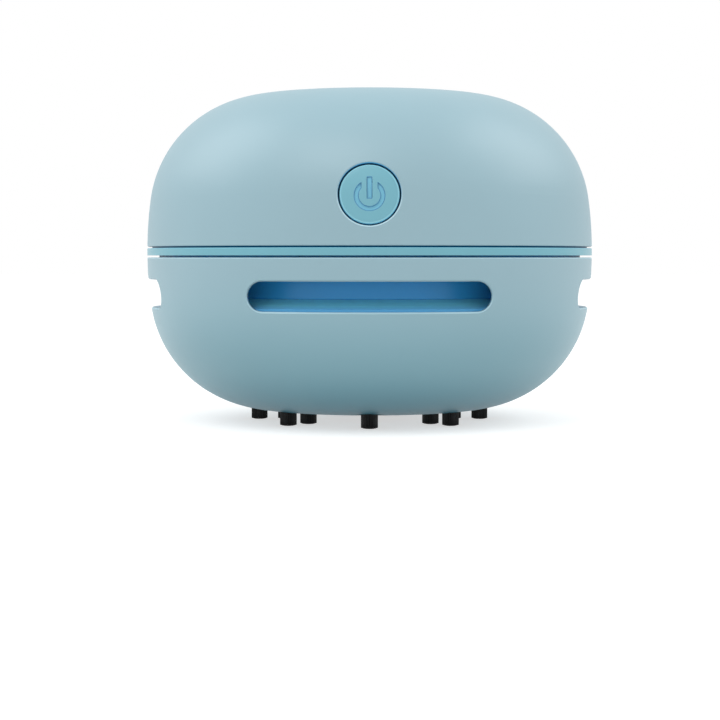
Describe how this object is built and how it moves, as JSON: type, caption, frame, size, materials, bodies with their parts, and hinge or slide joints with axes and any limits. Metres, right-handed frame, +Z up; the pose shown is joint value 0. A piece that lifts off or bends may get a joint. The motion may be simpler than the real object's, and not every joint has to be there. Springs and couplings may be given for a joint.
{
  "type": "desktop mini vacuum cleaner",
  "caption": "Round palm-sized desk vacuum: bowl on bristle tufts, exhaust slots, bright band, domed cover with a push button; fan, motor, cell, filter and dust cup inside.",
  "frame": {"origin": "on the body's turned axis, on the desk under the bristle tips", "axes": "+Z up through the dome, -Y towards the power button and front exhaust slot, +Y towards the charging socket, +X to the right seen from the button side"},
  "size_m": [0.09, 0.09, 0.0663],
  "materials": {
    "shell_blue": "fine satin moulding",
    "band_blue": "polished moulding",
    "button_blue": "satin moulding",
    "cup_blue": "satin moulding",
    "chassis_grey": "plain moulding",
    "bristle_black": "nylon filament",
    "seal_black": "soft moulded rubber",
    "screw_steel": "zinc plated",
    "motor_steel": "drawn can",
    "bush_bronze": "sintered",
    "bell_black": "plain moulding",
    "terminal_copper": "tinned tab",
    "cell_wrap": "shrink sleeve",
    "board_green": "solder mask",
    "socket_steel": "nickel plated",
    "switch_black": "plain moulding",
    "filter_frame_white": "plain moulding",
    "filter_cloth": "pleated non-woven"
  },
  "bodies": {
    "lower": {"lower_shell": "shell_blue", "dust_cup": "cup_blue", "cup_screws": "screw_steel", "outer_bristle_tufts": "bristle_black", "inner_bristle_tufts": "bristle_black"},
    "upper_unit": {"top_cover": "shell_blue", "trim_ring": "band_blue", "deck_plate": "cup_blue", "seal_ring": "seal_black", "chassis_screws": "screw_steel", "fan_housing": "chassis_grey", "housing_screws": "screw_steel", "motor_can": "motor_steel", "motor_end_bell": "bell_black", "front_bush": "bush_bronze", "rear_bush": "bush_bronze", "motor_screws": "screw_steel", "motor_terminals": "terminal_copper", "battery_cell": "cell_wrap", "battery_holder": "switch_black", "holder_screws": "screw_steel", "control_board": "board_green", "board_screws": "screw_steel", "usb_socket": "socket_steel", "power_switch": "switch_black", "switch_board": "board_green", "switch_screws": "screw_steel"},
    "button": {"power_button": "button_blue", "switch_plunger": "filter_frame_white"},
    "rotor": {"motor_shaft": "motor_steel", "impeller": "filter_frame_white"},
    "filter": {"filter_frame": "filter_frame_white", "filter_media": "filter_cloth"}
  },
  "joints": [
    {"name": "upper_lift", "type": "slide", "parent": "lower", "child": "upper_unit", "axis": [0, 0, 1], "range_m": [0, 0.04]},
    {"name": "button_press", "type": "slide", "parent": "upper_unit", "child": "button", "axis": [0, 0.9909, -0.1343], "range_m": [0, 0.0012], "stiffness_N_per_m": 800},
    {"name": "rotor_spin", "type": "hinge", "parent": "upper_unit", "child": "rotor", "pos_m": [0, 0, 0.045], "axis": [0, 0, 1], "continuous": true},
    {"name": "filter_pull", "type": "slide", "parent": "upper_unit", "child": "filter", "axis": [0, 0, -1], "range_m": [0, 0.005]}
  ]
}
